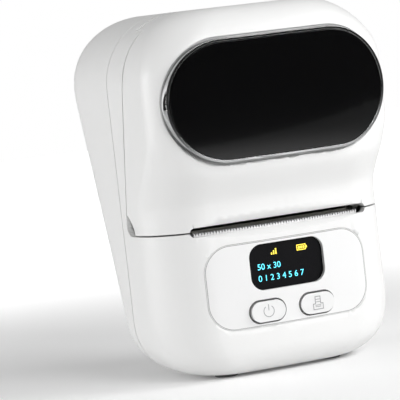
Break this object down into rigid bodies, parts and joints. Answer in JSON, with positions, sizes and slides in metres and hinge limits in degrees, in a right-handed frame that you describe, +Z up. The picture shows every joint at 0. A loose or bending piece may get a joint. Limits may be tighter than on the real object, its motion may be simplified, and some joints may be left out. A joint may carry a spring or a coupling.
{
  "type": "thermal label printer",
  "caption": "Compact upright thermal label printer with a round-ended black window, front label slot with tear bar, small display and push buttons; the lid hinges up over the label roll.",
  "frame": {"origin": "on the table under the centre of the bounding box", "axes": "+X to the right seen from the front, front faces -Y, +Z up"},
  "size_m": [0.077, 0.0812, 0.108],
  "materials": {
    "white_shell": "white satin-gloss moulded plastic",
    "panel_white": "white inlay with a fine edge line",
    "button_white": "white moulded plastic",
    "ring_chrome": "bright chrome plating",
    "black_glass": "deep gloss black acrylic",
    "screen_black": "smoked display window",
    "frame_plastic": "light grey moulded plastic",
    "dark_plastic": "black moulded plastic",
    "gear_plastic": "natural acetal",
    "roller_rubber": "ground black rubber",
    "foot_rubber": "dark grey rubber",
    "steel": "bright steel",
    "heatsink": "extruded aluminium",
    "ceramic": "glazed alumina",
    "board_green": "green solder mask",
    "battery_wrap": "shrink wrap"
  },
  "bodies": {
    "housing": {"front_shell": "white_shell", "rear_shell": "white_shell", "control_panel": "panel_white", "display_window": "screen_black", "display_module": "dark_plastic", "mechanism_frame": "frame_plastic", "hinge_pin": "steel", "rubber_feet": "foot_rubber", "case_screws": "steel", "button_switches": "dark_plastic", "panel_board": "board_green", "panel_screws": "steel", "main_board": "board_green", "charging_socket": "steel", "battery_pack": "battery_wrap", "idler_axle": "steel", "drive_motor": "steel", "head_pivot_pin": "steel", "head_springs": "steel", "tear_bar": "steel", "paper_sensor": "dark_plastic", "guide_rail": "steel", "guide_pinion_pin": "steel"},
    "lid": {"lid_shell": "white_shell", "window_ring": "ring_chrome", "window_glass": "black_glass", "lid_liner": "frame_plastic", "liner_screws": "steel", "platen_bushings": "gear_plastic"},
    "platen": {"platen_shaft": "steel", "platen_roller": "roller_rubber", "platen_gear": "gear_plastic"},
    "idler": {"idler_gear": "gear_plastic"},
    "motor_rotor": {"motor_pinion": "gear_plastic"},
    "print_head": {"head_ceramic": "ceramic", "head_heatsink": "heatsink"},
    "power_button": {"power_button": "button_white"},
    "feed_button": {"feed_button": "button_white"},
    "left_guide": {"roll_guide_left": "frame_plastic"},
    "right_guide": {"roll_guide_right": "frame_plastic"},
    "guide_pinion": {"guide_pinion": "gear_plastic"}
  },
  "joints": [
    {"name": "lid_hinge", "type": "hinge", "parent": "housing", "child": "lid", "pos_m": [0, -0.0148, 0.1047], "axis": [-1, 0, 0], "range_deg": [0, 65]},
    {"name": "platen_spin", "type": "hinge", "parent": "lid", "child": "platen", "pos_m": [0, -0.0186, 0.04895], "axis": [1, 0, 0], "continuous": true},
    {"name": "idler_spin", "type": "hinge", "parent": "housing", "child": "idler", "pos_m": [0.0299, -0.00922, 0.04309], "axis": [1, 0, 0], "continuous": true},
    {"name": "motor_spin", "type": "hinge", "parent": "housing", "child": "motor_rotor", "pos_m": [0.0299, -0.00469, 0.03524], "axis": [1, 0, 0], "continuous": true},
    {"name": "head_pivot", "type": "hinge", "parent": "housing", "child": "print_head", "pos_m": [0, -0.0128, 0.0422], "axis": [1, 0, 0], "range_deg": [0, 2], "stiffness_Nm_per_rad": 2, "springref_deg": -2.86, "deforming": ["head_springs"]},
    {"name": "power_press", "type": "slide", "parent": "housing", "child": "power_button", "axis": [0, 1, 0], "range_m": [0, 0.0006], "stiffness_N_per_m": 800},
    {"name": "feed_press", "type": "slide", "parent": "housing", "child": "feed_button", "axis": [0, 1, 0], "range_m": [0, 0.0006], "stiffness_N_per_m": 800},
    {"name": "left_guide_slide", "type": "slide", "parent": "housing", "child": "left_guide", "axis": [1, 0, 0], "range_m": [0, 0.013]},
    {"name": "right_guide_slide", "type": "slide", "parent": "housing", "child": "right_guide", "axis": [1, 0, 0], "range_m": [-0.013, 0]},
    {"name": "guide_pinion_turn", "type": "hinge", "parent": "housing", "child": "guide_pinion", "pos_m": [0, 0.0079, 0.0488], "axis": [0, 0, 1], "range_deg": [0, 149]}
  ],
  "couplings": [
    {"joint": "idler_spin", "follows": "platen_spin", "ratio": -0.83333},
    {"joint": "motor_spin", "follows": "platen_spin", "ratio": 1.6667},
    {"joint": "right_guide_slide", "follows": "left_guide_slide", "ratio": -1},
    {"joint": "guide_pinion_turn", "follows": "left_guide_slide", "rad_per_m": 200}
  ]
}
